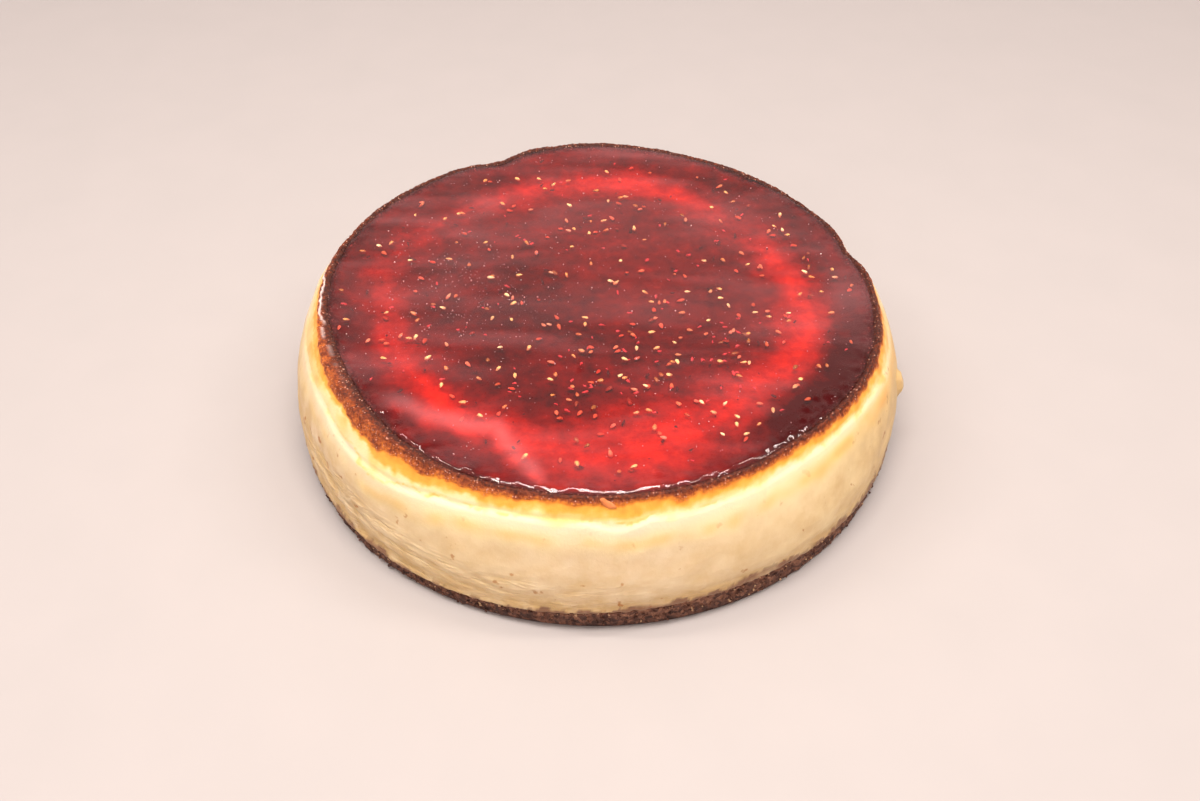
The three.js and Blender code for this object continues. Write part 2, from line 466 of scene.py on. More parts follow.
def jelly_material(colours):
    """Gelatine jelly with strawberry juice: clear, so that light is tinted by its way through, with a wet
    mirror-like surface and faint pale swirls: partly real cloudiness, partly painted reflection of the room."""
    material, tree = new_material("strawberry_gelatine")
    place = node(tree, "TexCoord").outputs["Object"]
    # Swirls some 80 mm long and 24 mm wide, of real haze and painted reflection
    stretched = node(tree, "Mapping", {"Vector": place, "Scale": (12, 42, 42)})
    shape = {"Vector": stretched, "Scale": 1.0, "Detail": 3, "Roughness": 0.5, "Distortion": 0.6}
    swirl = node(tree, "TexNoise", shape)
    cloud = node(tree, "MapRange", [swirl, 0.42, 0.75, 0.005, 0.14])
    wave = node(tree, "TexNoise", {"Vector": place, "Scale": 60, "Detail": 2, "Roughness": 0.4})
    bump = node(tree, "Bump", {"Height": wave, "Strength": 0.35, "Distance": 0.0006})
    clear = node(tree, "BsdfTransparent", {"Color": (1, 1, 1, 1)})
    # A pale diffuse layer: partly real cloudiness, partly painted reflection
    hazy_sheen = node(tree, "BsdfDiffuse", {"Color": tuple(colours.hazy_sheen) + (1,), "Roughness": 0.0})
    haze_and_reflection_amount = node(tree, "Attribute", attribute_name="haze_and_reflection_amount").outputs["Fac"]
    haze_and_reflection_share = node(tree, "Math", [cloud, haze_and_reflection_amount], operation="ADD", use_clamp=True)
    body = node(tree, "MixShader", [haze_and_reflection_share, clear, hazy_sheen])
    gloss = node(tree, "BsdfGlossy", {"Color": (1, 1, 1, 1), "Roughness": 0.04, "Normal": bump})
    edge = node(tree, "Fresnel", {"IOR": JELLY_IOR, "Normal": bump})
    shader = node(tree, "MixShader", [edge, body, gloss])
    tint = node(
        tree, "VolumeAbsorption", {"Color": tuple(colours.jelly) + (1,), "Density": JELLY_DENSITY}
    )
    node(tree, "OutputMaterial", {"Surface": shader, "Volume": tint})
    return material


def seed_material():
    """Strawberry seed: a smooth straw-coloured husk, browner at random."""
    material, tree = new_material("strawberry_seed_husk")
    tone = node(tree, "Attribute", attribute_name="tone").outputs["Fac"]
    ramp = node(tree, "ValToRGB", [tone], HUSK)
    shader = node(tree, "BsdfPrincipled", {"Base Color": ramp, "Roughness": 0.35, "IOR": HUSK_IOR})
    node(tree, "OutputMaterial", {"Surface": shader})
    return material


def plain_material(name, code, roughness):
    """A small thing's finish: one colour with a slight mottle of about 1 mm."""
    material, tree = new_material(name)
    place = node(tree, "TexCoord").outputs["Object"]
    mottle = node(tree, "TexNoise", {"Vector": place, "Scale": 1000, "Detail": 2})
    darker = [c * 0.7 for c in to_linear(code)]
    colour = node(tree, "Mix", {0: mottle, 6: to_linear(code), 7: darker}, data_type="RGBA").outputs[2]
    shader = node(
        tree, "BsdfPrincipled", {"Base Color": colour, "Roughness": roughness, "IOR": FRUIT_IOR}
    )
    node(tree, "OutputMaterial", {"Surface": shader})
    return material


# ---------------------------------------------------------------- filling

# Where each stage of the browning ends, in millimetres over the rim from the jelly's edge
DARK_TO = [(-145, 24, 0.9), (-12, 20, 1.3)]
BROWN_TO = [(-143, 24, 5.0), (175, 14, -0.8), (-12, 20, 1.3)]
ORANGE_TO = [
    (-86, 6, 3.2),
    (-127, 9, 4.4),
    (-152, 24, 4.4),
    (175, 14, -1.4),
    (-100, 14, 1.0),
    (-12, 22, 1.5),
]
SOFT_OVER = [(-80, 45, 1.1)]
SKIN_TO = [(-138, 22, 10.0), (-170, 16, 6.0), (-88, 26, 2.6), (-52, 20, -0.6), (-4, 24, 3.0)]
# How strong the painted shadow line under the skin's ledge is, and where the crust and the shoulder are more
# yellow or brown
LEDGE_SHADOW_LINE = [(-120, 30, 1.0), (-84, 14, 0.7), (-35, 10, 0.5), (60, 40, 0.6)]
YELLOWER_SKIN = [(-166, 14, 0.12), (-12, 16, 0.12)]
BROWNER_CRUST = [(-147, 24, 0.07)]
YELLOWER_WALL = [(-38, 34, 0.1), (-10, 20, 0.16), (-117, 20, 0.06)]
# The pale ring in the skin under the jelly: its radius, half width and strength
RING_RADIUS = [(-100, 25, 4.0), (-45, 10, -4.0), (38, 16, -6.5), (165, 25, 6.0), (-150, 25, 3.0)]
RING_WIDTH = [(-78, 28, 9.0)]
RING_STRENGTH = [
    (-80, 32, 0.11),
    (-5, 18, 0.24),
    (40, 16, -0.4),
    (85, 25, 0.2),
    (152, 26, -0.4),
    (-45, 10, 0.05),
    (-138, 14, 0.2),
]
DARKER_RIM = [(-30, 22, 0.15), (90, 40, -0.06), (-89, 22, -0.06)]
# Where the tin's lining left folds, how much higher they reach, and where the ledge and swelling stand out
FOLDED = [(-136, 30, 1.0), (-95, 14, 0.2), (50, 60, 0.6), (-25, 20, 0.2)]
FOLDS_HIGHER = [(-150, 30, 8)]
SWOLLEN = [(-120, 50, 0.35)]
LEDGE = [(-120, 34, 1.0), (-35, 20, 0.5), (70, 50, 0.7)]
# Where crumbs stick higher, where the syrup's lifted edge stands as a thin ridge painted near white as a
# highlight, and where more tan and painted shade lies on the wall
STAINED_HIGHER = [(-58, 12, 1.4), (-30, 12, 0.5)]
RAISED_HIGHLIGHT_LINE = [(172, 19, 1.4), (16, 4, 1.0)]
MORE_TAN_AND_SHADE = [(-168, 24, 0.5), (-5, 26, 0.45), (-35, 22, 0.1)]
FILLING_COLUMNS = 1030
FOOT_ROUND = 1.2
RIM_ROUND = 0.7
CREST_WIDTH = 0.45


def filling_rows():
    """Profile of the filling, from the middle of its underside to the middle of the dish, and the number
    of the row that lies under the jelly's edge."""
    foot = CHEESE_FLOOR + FOOT_ROUND
    shoulder = CREST - RIM_ROUND
    rows = [(r, CHEESE_FLOOR) for r in (2, 60, 100)]
    for turn in np.linspace(0, math.pi / 2, 4):
        inset = FOOT_ROUND * (1 - math.sin(turn))
        rows.append((wall_radius(foot) - inset, foot - FOOT_ROUND * math.cos(turn)))
    rise = np.sin(np.linspace(0, 1.25, 53)[1:]) / math.sin(1.25)
    for height in foot + (shoulder - foot) * rise:
        rows.append((wall_radius(height), height))
    start = wall_radius(shoulder)
    for turn in np.linspace(0, math.pi / 2, 5)[1:]:
        inset = CREST_WIDTH * (1 - math.cos(turn)) + 0.1 * turn
        rows.append((start - inset, CREST - RIM_ROUND * (1 - math.sin(turn))))
    inner = JELLY_RADIUS + CREST_WIDTH
    outer = rows[-1][0]
    for share in np.linspace(0, 1, 8)[1:]:
        rows.append((outer + (inner - outer) * share, CREST + (dish_height(inner) - CREST) * share))
    edge = len(rows)
    for radius in JELLY_RADIUS - np.linspace(0, DISH_EDGE, 7):
        rows.append((radius, dish_height(radius)))
    for radius in np.linspace(JELLY_RADIUS - DISH_EDGE, 4, 19)[1:]:
        rows.append((radius, dish_height(radius)))
    return rows, edge


def over_rim(grid, edge):
    """Distance of each point from the row under the jelly's edge, measured over the rim and down the wall:
    the sum of the steps between the rows. It is 0 inside that row."""
    steps = np.linalg.norm(np.diff(grid, axis=0), axis=-1)
    steps[edge:] = 0
    total = np.cumsum(steps[::-1], axis=0)[::-1]
    return np.concatenate([total, np.zeros((1, grid.shape[1]))])


def ramp_between(value, low, high):
    """The share of the way from low to high, held to 0 and 1."""
    return np.clip((value - low) / (high - low), 0, 1)


def toast_outside(points, over, angle):
    """How brown the rim and wall are: dark at the jelly, then brown, orange, yellow and none, each stage
    ending at its own ragged distance over the rim."""
    ragged = over * (1 + 0.16 * clouds(points, 12, 31))
    ragged = ragged + 0.7 * noise(points / 3.6, 35) + 0.45 * noise(points / 1.5, 37)
    dark = 2.6 + bells(DARK_TO, angle)
    brown = np.maximum(3.8 + bells(BROWN_TO, angle), dark + 0.9)
    orange = 6.3 + bells(ORANGE_TO, angle)
    soft = 0.5 + bells(SOFT_OVER, angle)
    skin = np.maximum(7.8 + bells(SKIN_TO, angle), orange + soft + 0.6)
    toast = 0.93 - 0.13 * ramp_between(ragged, 0.4, dark) - 0.1 * ramp_between(ragged, dark, dark + 0.7)
    toast -= 0.11 * ramp_between(ragged, dark + 0.7, brown) + 0.18 * ramp_between(ragged, brown, brown + soft)
    paler = ramp_between(ragged, orange, orange + soft)
    toast -= 0.06 * ramp_between(ragged, brown + soft, orange) + 0.2 * paler
    toast -= 0.08 * ramp_between(ragged, orange + soft, skin)
    # Painted shade: a thin darker line along the skin's end, in the shade under its ledge
    line = np.exp(-(((ragged - skin) / 0.55) ** 2)) * bells(LEDGE_SHADOW_LINE, angle)
    line *= smooth(noise(points / 9, 39), -0.5, 0.2)
    yellow = 0.12 * smooth(noise(points / 9, 33), 0, 0.7) * (1 - ramp_between(over, skin, skin + 2))
    toast += 0.22 * line + yellow * ramp_between(ragged, orange, orange + 1.5)
    toast += bells(YELLOWER_SKIN, angle) * ramp_between(ragged, orange, orange + 1)
    toast = np.clip(toast, 0.02, 0.95) * (1 - ramp_between(ragged, skin + 0.2, skin + 1.4))
    browned = ramp_between(ragged, dark, dark + 1) * (1 - ramp_between(ragged, brown, brown + 1))
    toast += bells(BROWNER_CRUST, angle) * browned
    zone = ramp_between(ragged, dark, dark + 1) * (1 - ramp_between(ragged, orange, skin))
    toast += 0.09 * clouds(points, 4.5, 32) * zone
    # A yellow band runs under the pale swelling, and a yellowish smear has run down at the front
    band = np.exp(-(((over - skin - 7.5 + 2.5 * noise(points / 20, 34)) / 3.2) ** 2))
    toast += 0.16 * band * np.clip(0.65 + 0.7 * noise(points / 8, 36), 0.3, 1)
    toast += bells(YELLOWER_WALL, angle) * ramp_between(over, skin, skin + 4)
    smear = np.exp(-(((angle + 77.4) / 1.1) ** 4) - ((over - 9) / 3.2) ** 4)
    return np.maximum(toast, 0.15 * smear), skin


def past_fold(points, radius, angle):
    """A pale fold at the front left, which turns out to the rim on both sides of a darker lobe: how far out
    from it each point is, and 1 along its length."""
    off = (angle + 115 + 540) % 360 - 180
    fold = 82.6 + np.where(off < 0, -0.6 * off, 1.25 * off) + 1.2 * noise(points / 8, 40)
    return radius - fold, smooth(off, -30, -22) * (1 - smooth(off, 12, 17))


def toast_under_jelly(points, radius, angle):
    """How brown the skin under the jelly is: dark in the middle, a pale uneven ring, dark at the rim."""
    wander = 3.0 * clouds(points, 30, 41) + 1.5 * noise(points / 9, 43)
    ring = 80 + bells(RING_RADIUS, angle) + wander
    wide = 8.5 + bells(RING_WIDTH, angle) + 1.5 * noise(points / 18, 45)
    strength = np.clip(0.72 + bells(RING_STRENGTH, angle) + 0.22 * clouds(points, 16, 49), 0.1, 1.1)
    pale = np.exp(-(((radius - ring) / wide) ** 2)) * strength
    x, y = points[..., 0], points[..., 1]
    patch = 0.05 * np.exp(-(((x + 35) / 30) ** 2) - ((y + 5) / 30) ** 2)
    patch -= 0.06 * np.exp(-(((x - 15) / 30) ** 2) - ((y - 25) / 24) ** 2)
    dark = 0.82 + 0.03 * smooth(radius, 84, 98) + patch + 0.045 * clouds(points, 20, 47)
    dark += bells(DARKER_RIM, angle) * smooth(radius, 86, 98)
    beyond, near = past_fold(points, radius, angle)
    dark -= 0.22 * np.exp(-((beyond / 2.6) ** 2)) * near
    pale = pale * (1 - 0.45 * smooth(beyond, 1, 5) * near)
    return np.clip(dark - 0.295 * pale, 0.4, 0.95)


def make_filling(shape, colours):
    """The filling's grid: the turned profile, pushed in and out by its folds, curd lumps and crust."""
    rows, edge = filling_rows()
    grid, radius, height, angle = turned(rows, FILLING_COLUMNS)
    in_dish = np.arange(len(rows))[:, None] >= edge
    over = over_rim(grid, edge)
    outer_toast, skin = toast_outside(grid, over, angle)
    under = smooth(radius, JELLY_RADIUS, JELLY_RADIUS - 3)
    inner_toast = 0.9 * (1 - under) + toast_under_jelly(grid, radius, angle) * under
    toast = np.where(in_dish, inner_toast, outer_toast)
    crust = np.where(in_dish, 1 - under, smooth(outer_toast, 0.44, 0.62))
    # Curd: soft lumps of 26 and 7 mm
    relief = 0.5 * clouds(grid, 26, 3) + 0.14 * noise(grid / 7, 5)
    # Folds left by the tin's lining, long round the cake and low, strongest at the lower front left
    bent = grid + 3.0 * noise(grid / 22, 9)[..., None]
    slant = bent * np.array([0.2, 0.2, 1.0])
    folds = 0.6 * ridges(slant, 6.0, 11) ** 2 + 0.4 * ridges(slant, 3.4, 13) ** 2
    where = 0.08 + bells(FOLDED, angle)
    higher = bells(FOLDS_HIGHER, angle)
    low = smooth(height, CHEESE_FLOOR + 0.5, CHEESE_FLOOR + 4)
    low *= 1 - smooth(height, 16 + higher, 28 + higher)
    relief -= shape.fold_depth / MM * folds * where * low
    wrinkled = smooth(height, CHEESE_FLOOR + 0.5, CHEESE_FLOOR + 2) * (1 - smooth(height, 10, 17))
    relief -= 0.5 * ridges(grid * np.array([0.45, 0.45, 1]), 3.2, 15) * wrinkled
    # The skin has slipped down over the shoulder, and ends in a soft ledge with the curd swelling under it
    wavy = skin + 0.9 * noise(grid / 14, 17)
    swell = smooth(over, wavy - 0.2, wavy + 1.6) * (1 - smooth(over, wavy + 4, wavy + 17))
    relief += (0.35 + bells(SWOLLEN, angle)) * swell
    relief -= 0.45 * np.exp(-(((over - wavy) / 0.9) ** 2)) * bells(LEDGE, angle)
    shown = smooth(height, CHEESE_FLOOR + 0.2, CHEESE_FLOOR + 2)
    relief = relief * shown * ~in_dish
    # Crumbs stick to the curd just over the base, up to a ragged line
    clumps = 3.0 * clouds(grid * np.array([1, 1, 0.5]), 7, 63) + 1.0 * noise(grid / 1.5, 65)
    stain_top = CHEESE_FLOOR + 1.4 + clumps + bells(STAINED_HIGHER, angle)
    stain = (1 - smooth(height, stain_top, stain_top + 0.9)) * smooth(radius, 110, 118) * ~in_dish
    relief += stain * (0.25 + 0.35 * noise(grid / 1.6, 67))
    # Cracked crust
    cracked = 0.5 * ridges(grid, 1.9, 19) + 0.4 * noise(grid / 1.3, 23)
    relief += shape.crust_depth / MM * cracked * crust
    # A lump of curd stands on the wall: half an ellipsoid with a dented surface
    off = ((angle + 12.5) / 1.7) ** 2 + ((height - 31) / 5.2) ** 2 + 0.25 * noise(grid / 2.5, 25)
    relief += 2.3 * np.sqrt(np.clip(1 - off, 0, 1)) * ~in_dish
    # At the back left the syrup's lifted edge lies on the rim as a thin raised ridge, painted near white as a
    # highlight
    line = 3.0 + 1.1 * noise(grid / 7, 27) + 0.35 * noise(grid / 2.2, 26)
    raised_highlight_line = np.exp(-(((over - line) / 0.33) ** 4)) * smooth(noise(grid / 5, 29), -0.7, -0.3)
    raised_highlight_line *= np.clip(bells(RAISED_HIGHLIGHT_LINE, angle), 0, 1) * ~in_dish
    relief += 0.35 * raised_highlight_line
    grid = pushed(grid, relief)
    # Painted shade: the wall is laid darker and more tan down from the shoulder, at the foot and in the
    # folds, where less light reaches; some places round the cake get more of it, and blotches break it up
    foot = 1 - smooth(height, CHEESE_FLOOR, CHEESE_FLOOR + 10)
    tan = 0.55 * smooth(CREST - height, 7, 24) + 0.42 * foot + 0.3 * folds * where * low
    tan += bells(MORE_TAN_AND_SHADE, angle) * smooth(CREST - height, 3, 8)
    values = {
        "toast": toast,
        "crust": crust,
        "tan": tan * ~in_dish,
        "dish": in_dish * under,
        "raised_highlight_line": raised_highlight_line,
        "folded": np.maximum(where * low, 0.6 * wrinkled) * ~in_dish,
        "stain": stain,
    }
    piece = closed_grid("cheese_filling_baked", grid, values)
    return finished(piece, cheese_material(colours), "baked_filling", "cheese_filling")


def make_flake():
    """A curled flake of crust on the front of the rim: a bead pressed flat, bent up at its ends by the
    square of the distance from its middle, with a dented outline."""
    form, faces = bead(20, 9)
    flake = form * np.array([2.9, 1.1, 0.26]) * (1 + 0.38 * noise(form * 2.6, 101)[:, None])
    flake[:, 2] += 0.05 * flake[:, 0] ** 2
    flake[:, 1] += 0.05 * flake[:, 0] ** 2
    angle, height = -88.2, CREST - 1.9
    radius = wall_radius(height) + bells(OUTLINE, angle)
    slope = wall_radius(height - 1) - wall_radius(height)
    piece = laid_on_wall("crust_flake", flake, faces, angle, radius, height, slope, -32)
    return finished(piece, plain_material("baked_crust_flake", "#F08C50", 0.4), "baked_filling")


def laid_on_wall(name, points, faces, angle, radius, height, slope, roll):
    """Lays a flat form on the wall: its third direction along the wall's normal, its first round the cake."""
    turn, spin = math.radians(angle), math.radians(roll)
    out = np.array([math.cos(turn), math.sin(turn), slope])
    out /= np.linalg.norm(out)
    round_way = np.array([-math.sin(turn), math.cos(turn), 0])
    up = np.cross(out, round_way)
    first = math.cos(spin) * round_way + math.sin(spin) * up
    second = np.cross(out, first)
    middle = placed(radius, height, angle) + 0.25 * out
    return mesh_object(name, points @ np.array([first, second, out]) + middle, faces)


# ---------------------------------------------------------------- biscuit base


BASE_EDGE = 0.9
BASE_COLUMNS = 1440


def make_base(shape):
    """The base: a turned plate whose side and top edge are broken up by crumbs of 4, 2 and 1 mm."""
    inset = BASE_RADIUS - BASE_EDGE
    rows = [(r, 0) for r in (2, 60, 100, inset)]
    rows += [(BASE_RADIUS, h) for h in np.linspace(BASE_EDGE, BASE_THICKNESS - BASE_EDGE, 14)]
    rows += [(r, BASE_THICKNESS) for r in (inset, 114, 100, 60, 2)]
    grid, radius, height, _ = turned(rows, BASE_COLUMNS)
    side = smooth(radius, 112, BASE_RADIUS - 0.5) * smooth(height, 0.1, 1)
    crumbs = 0.5 * clouds(grid, 4.5, 51, 2) + 0.45 * noise(grid / 1.9, 53) + 0.2 * noise(grid / 1.0, 55)
    grid = pushed(grid, shape.crumb_depth / MM * (crumbs - 0.35) * side)
    piece = closed_grid("biscuit_base_crumb", grid)
    return finished(piece, crumb_material(), "biscuit_crumb", "biscuit_base")


def make_crumbs(shape):
    """Loose crumbs that cling to the base's side and to the seam over it: dented beads, each its own."""
    draw = np.random.default_rng(61)
    count = shape.crumbs
    form, faces = bead(6, 3)
    angle = draw.uniform(-180, 180, count)
    top = BASE_THICKNESS + bells(THICK_BASE, angle)
    height = top * draw.uniform(0.08, 1.0, count) ** 0.8 + draw.exponential(0.45, count).clip(0, 2.5)
    radius = BASE_RADIUS + draw.normal(-0.25, 0.2, count)
    size = draw.lognormal(-0.75, 0.38, count).clip(0.22, 0.95)
    forms = form[None] * (1 + 0.3 * draw.normal(size=(count, len(form), 1)).clip(-1.5, 1.5))
    sizes = size[:, None] * draw.uniform(0.55, 1.0, (count, 3))
    height = np.maximum(height, size + 0.05)
    piece = scattered(
        "biscuit_crumbs",
        forms,
        faces,
        placed(radius, height, angle),
        turns(draw, count, 60),
        sizes,
        {"pale": 0.8 * (draw.uniform(size=count) < 0.09)},
    )
    return finished(piece, crumb_material(), "biscuit_crumb")


# ---------------------------------------------------------------- jelly and what is in it

JELLY_COLUMNS = 1080
JELLY_SUNK = 0.25
# The lip's slope at each distance in from the edge
LIP_INWARD = [0, 0.13, 0.3, 1.65, 2.6]
LIP_SLOPE = [3.6, 1.2, 0.56, 0.34, 0]
# Where more haze and painted reflection lies round the jelly's edge
HAZE_AND_REFLECTION_EDGE = [(-89, 22, 0.06), (2, 15, 0.1), (-30, 16, -0.09)]
# Drops that stand on the jelly: (angle, radius, half width, height)
DROPS = [
    (-133.5, 101.5, 1.3, 0.6),
    (-131, 101, 1.0, 0.5),
    (-130.5, 104, 1.6, 0.6),
    (-98, 44, 1.3, 0.6),
    (-78, 99.5, 1.5, 0.6),
    (-45, 101.5, 1.4, 0.6),
    (-42, 99, 1.7, 0.7),
    (-38, 98.5, 1.4, 0.6),
    (-35.5, 102, 2.8, 1.0),
    (-49, 102.5, 1.6, 0.6),
]
# The drop that has drawn up into three flat sides: where it is, which way its broad side faces, how far that
# side reaches, the slopes of its broad and other sides, and its height
DRAWN_AT = (-136.5, 97.9)
DRAWN_FACES = -123
DRAWN_REACH = 3.1
DRAWN_SLOPES = (0.394, 0.6)
DRAWN_HEIGHT = 1.2


def jelly_surface(points, radius, angle):
    """Lift of the jelly's surface, in millimetres: broad waves, smaller lumps near the edge, and drops,
    each of which is a dome that falls off as e to minus the fourth power of the distance over its width.
    One drop is the lowest of three sloping planes, cut off level on top."""
    middle = placed(DRAWN_AT[1], HEIGHT, DRAWN_AT[0])
    turn = math.radians(DRAWN_FACES)
    x, y = points[..., 0] - middle[0], points[..., 1] - middle[1]
    out = x * math.cos(turn) + y * math.sin(turn)
    along = y * math.cos(turn) - x * math.sin(turn)
    beside = 2.4 + out - np.abs(along)
    broad, narrow = DRAWN_SLOPES
    drawn = np.clip(np.minimum(broad * (DRAWN_REACH - out), narrow * beside), 0, DRAWN_HEIGHT)
    # The edge is calm round that drop
    calm = smooth(np.hypot(x, y), 4, 8)
    near_edge = smooth(radius, JELLY_RADIUS - 7, JELLY_RADIUS - 2) * calm
    lift = drawn + 0.05 * noise(points / 38, 71) + 0.012 * noise(points / 9, 72)
    lift += near_edge * (0.3 * noise(points / 5.5, 73) + 0.18 * noise(points / 2.4, 75))
    for at, radius_at, wide, high in DROPS:
        middle = placed(radius_at, HEIGHT, at)
        away = np.hypot(points[..., 0] - middle[0], points[..., 1] - middle[1]) / wide
        lift += high * np.exp(-(away**4))
    return lift


def make_jelly(colours):
    """The jelly: its underside dips just into the skin, so that no air shows, and its edge is a rounded
    lip 2.6 mm wide. The lip is steep at its foot, then leans at 29 to 19 degrees, and then runs level."""
    under = [3, 50, 80, *(JELLY_RADIUS - np.linspace(DISH_EDGE, 0, 8))]
    rows = [(r, dish_height(r) - JELLY_SUNK) for r in under]
    inward = np.linspace(0, 2.64, 22)
    slope = np.interp(inward, LIP_INWARD, LIP_SLOPE)
    drop = np.cumsum((slope * inward[1])[::-1])[::-1]
    rows += list(zip(JELLY_RADIUS + 0.25 - inward, HEIGHT - drop))
    rows += [(r, HEIGHT) for r in np.linspace(JELLY_RADIUS - 3, 93, 15)]
    rows += [(r, HEIGHT) for r in np.linspace(90, 3, 31)]
    grid, radius, height, angle = turned(rows, JELLY_COLUMNS)
    upper = smooth(height, HEIGHT - 1.2, HEIGHT - 0.7) * (np.arange(len(rows))[:, None] >= len(under))
    grid[..., 2] += jelly_surface(grid, radius, angle) * upper
    wobble = 0.45 * noise(grid / 6, 77) * smooth(radius, 98, 105)
    spread = 1 + wobble / np.maximum(radius, 1)
    grid[..., :2] *= spread[..., None]
    beyond, near = past_fold(grid, radius, angle)
    # Haze laid on the jelly, partly real cloudiness and partly painted reflection: a broad streak along the
    # pale fold, long swirls, more at some places round the edge, and more towards the back, which mirrors the
    # bright room
    haze_and_reflection_amount = 0.23 * np.exp(-((beyond / 4.0) ** 2)) * near
    haze_and_reflection_amount += 0.06 * smooth(noise(grid * np.array([0.4, 1.3, 1]) / 13, 79), 0.1, 0.7) * smooth(radius, 45, 70)
    haze_and_reflection_amount += bells(HAZE_AND_REFLECTION_EDGE, angle) * smooth(radius, 86, 96)
    haze_and_reflection_amount += 0.045 * smooth(grid[..., 1], 5, 50) * (1 - smooth(radius, 76, 90))
    piece = closed_grid("strawberry_jelly_clear", grid, {"haze_and_reflection_amount": haze_and_reflection_amount * upper})
    return finished(piece, jelly_material(colours), "set_jelly", "strawberry_jelly")


def spots_in_jelly(draw, count, liking, reach=101):
    """Random places in the jelly, as x, y: each is kept with the chance that liking gives it."""
    kept = np.empty((0, 2))
    while len(kept) < count:
        trial = draw.uniform(-reach, reach, (4 * count, 2))
        inside = np.hypot(*trial.T) < reach
        wanted = draw.uniform(size=len(trial)) < liking(trial)
        kept = np.concatenate([kept, trial[inside & wanted]])
    return kept[:count]


def seed_liking(spots):
    """Where seeds gathered: about 1 in the middle and the front right, less towards the rim."""
    away = np.hypot(*spots.T)
    front = np.exp(-(((spots[:, 0] - 18) / 42) ** 2) - ((spots[:, 1] + 42) / 34) ** 2)
    return np.clip(0.34 + 0.62 * front - 0.2 * smooth(away, 70, 100), 0, 1)


def make_seeds(shape):
    """Strawberry seeds: flattened drops, one end drawn out, lying at every depth of the jelly."""
    draw = np.random.default_rng(81)
    count = shape.seeds
    form, faces = bead(8, 5)
    drop = form.copy()
    drop[:, 1:] *= 1 - 0.38 * form[:, :1]
    spots = spots_in_jelly(draw, count, seed_liking)
    shallow = draw.uniform(size=count) < 0.42
    deep = np.where(shallow, draw.uniform(0.05, 0.3, count), draw.uniform(0.3, 1.9, count))
    length = shape.seed_length / MM * draw.uniform(0.82, 1.15, count)
    sizes = length[:, None] / 2 * np.array([1, 0.51, 0.31]) * draw.uniform(0.88, 1.12, (count, 3))
    places = np.column_stack([spots, HEIGHT - deep - 0.2])
    tone = np.clip(draw.normal(0.5, 0.3, count), 0, 1)
    turned_by = turns(draw, count, 12)
    piece = scattered("strawberry_seeds", drop, faces, places, turned_by, sizes, {"tone": tone})
    return finished(piece, seed_material(), "set_jelly")


def make_pulp(shape):
    """Shreds of strawberry pulp: long dented beads, gathered where the seeds are."""
    draw = np.random.default_rng(87)
    count = shape.pulp
    form, faces = bead(7, 4)
    spots = spots_in_jelly(draw, count, lambda s: seed_liking(s) ** 2)
    forms = form[None] * (1 + 0.3 * draw.normal(size=(count, len(form), 1)).clip(-1.5, 1.5))
    sizes = draw.uniform(0.45, 1.0, (count, 1)) * np.array([1.25, 0.6, 0.4])
    places = np.column_stack([spots, HEIGHT - draw.uniform(0.5, 1.1, count)])
    piece = scattered("strawberry_pulp", forms, faces, places, turns(draw, count, 12), sizes)
    return finished(piece, plain_material("strawberry_pulp_shred", "#FF5A5E", 0.5), "set_jelly")


def make_specks(shape):
    """Dark flecks of scorched fruit: small dented flat beads at every depth."""
    draw = np.random.default_rng(91)
    count = shape.specks
    form, faces = bead(6, 3)
    spots = spots_in_jelly(draw, count, lambda s: 0.5)
    size = draw.uniform(0.25, 0.8, count)
    forms = form[None] * (1 + 0.25 * draw.normal(size=(count, len(form), 1)).clip(-1.5, 1.5))
    sizes = size[:, None] * np.array([1.7, 0.8, 0.4])
    places = np.column_stack([spots, HEIGHT - draw.uniform(0.5, 2.0, count)])
    piece = scattered("fruit_specks", forms, faces, places, turns(draw, count, 15), sizes)
    return finished(piece, plain_material("scorched_fruit_fleck", "#5A241C", 0.5), "set_jelly")


def bubble_liking(spots):
    """Where froth stayed: a cloud left of the middle, and a little everywhere."""
    cloud = np.exp(-(((spots[:, 0] + 55) / 28) ** 2) - ((spots[:, 1] - 2) / 30) ** 2)
    return 0.12 + 0.85 * cloud


def make_bubbles(shape):
    """Froth caught in the jelly: tiny beads just under the surface."""
    draw = np.random.default_rng(97)
    count = shape.bubbles
    form, faces = bead(6, 3)
    spots = spots_in_jelly(draw, count, bubble_liking)
    size = 0.08 + draw.exponential(0.07, count).clip(0, 0.3)
    places = np.column_stack([spots, HEIGHT - size - draw.uniform(0.02, 0.5, count)])
    sizes = size[:, None] * np.ones(3)
    piece = scattered("jelly_bubbles", form, faces, places, turns(draw, count, 5), sizes)
    return finished(piece, plain_material("jelly_froth", "#FFE6E0", 0.3), "set_jelly")


# ---------------------------------------------------------------- stage

# The room from straight down to straight up: a pale wall reaches 38 degrees up, under a darker ceiling
ROOM = [
    (0.0, "#989390"),
    (0.7, "#A69C97"),
    (0.765, "#D6C5BD"),
    (0.79, "#F7E6DE"),
    (0.82, "#F7E4DE"),
    (0.86, "#DCCAC6"),
    (0.93, "#A89EA0"),
    (1.0, "#8C8688"),
]
FLOOR_HALF = 4000
CAMERA_PLACE = (0.001, -0.3762, 0.3505)
CAMERA_PITCH = 43.2
CAMERA_LENS = 36.6
WARM_WHITE = "#FFFAF4"
# Places and sizes of the lights, in metres
OVERHEAD = (0, -0.2, 1.1), (0.7, 0.2)
FRONT = (-0.3, -1.3, 0.9), (1.2, 0.8)
SIDE_SIZE = (0.1, 0.66)


